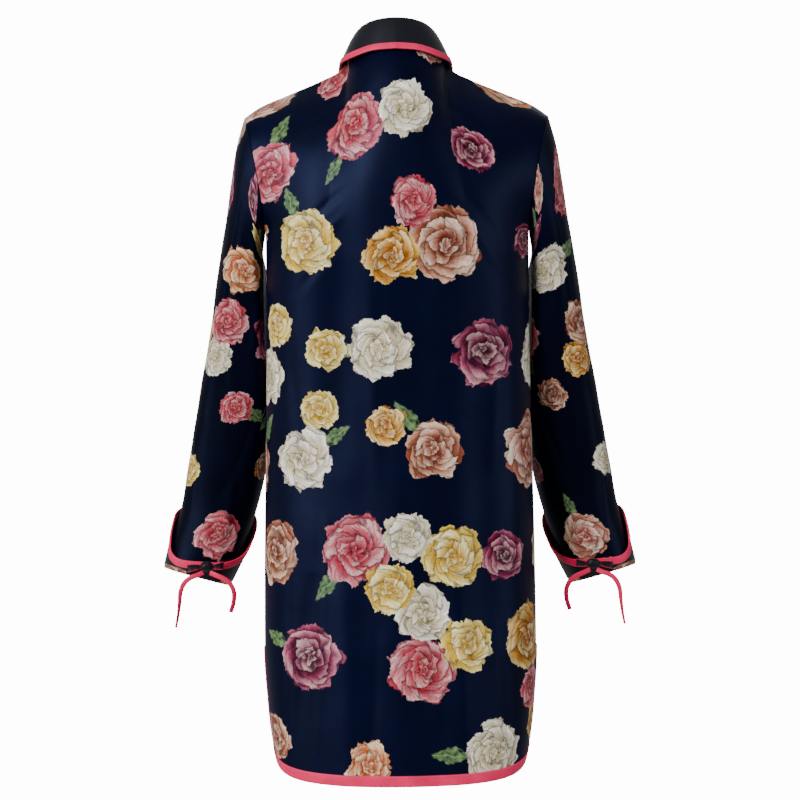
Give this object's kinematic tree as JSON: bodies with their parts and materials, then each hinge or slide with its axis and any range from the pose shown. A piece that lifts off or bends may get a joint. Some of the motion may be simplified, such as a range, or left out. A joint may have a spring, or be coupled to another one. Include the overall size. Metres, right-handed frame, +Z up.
{
  "type": "silk shirt, long-sleeved tunic in its worn form, empty",
  "caption": "Empty silk tunic shirt in its worn form: navy printed body and sleeves, turn-down collar, turned-back cuffs tied with bows, and pink bound edges.",
  "frame": {"origin": "the middle of the neck, at the height of the shoulders, where a wearer's shoulders hold the shirt", "axes": "+Z up along the body, the back faces +Y and the buttoned front -Y, and the wearer's left is +X"},
  "size_m": [0.6142, 0.2499, 0.9733],
  "materials": {
    "printed_silk": "satin",
    "plain_silk": "satin",
    "pink_binding": "satin",
    "button_shell": "gloss"
  },
  "bodies": {
    "root": {"back": "printed_silk", "front_left": "printed_silk", "front_right": "printed_silk", "sleeve_left": "printed_silk", "sleeve_right": "printed_silk", "collar_stand": "plain_silk", "collar_fall": "plain_silk", "collar_binding": "pink_binding", "cuff_left": "plain_silk", "cuff_right": "plain_silk", "cuff_binding_left": "pink_binding", "cuff_binding_right": "pink_binding", "hem_binding_back": "pink_binding", "hem_binding_front_left": "pink_binding", "hem_binding_front_right": "pink_binding", "tie_knot_left": "plain_silk", "tie_knot_right": "plain_silk", "tie_loop_outer_left": "plain_silk", "tie_loop_outer_right": "plain_silk", "tie_loop_inner_left": "plain_silk", "tie_loop_inner_right": "plain_silk", "tie_tail_outer_left": "pink_binding", "tie_tail_outer_right": "pink_binding", "tie_tail_inner_left": "pink_binding", "tie_tail_inner_right": "pink_binding", "button_1": "button_shell", "button_2": "button_shell", "button_3": "button_shell", "button_4": "button_shell", "button_5": "button_shell", "button_6": "button_shell", "button_7": "button_shell", "button_8": "button_shell", "button_collar": "button_shell"}
  },
  "joints": []
}
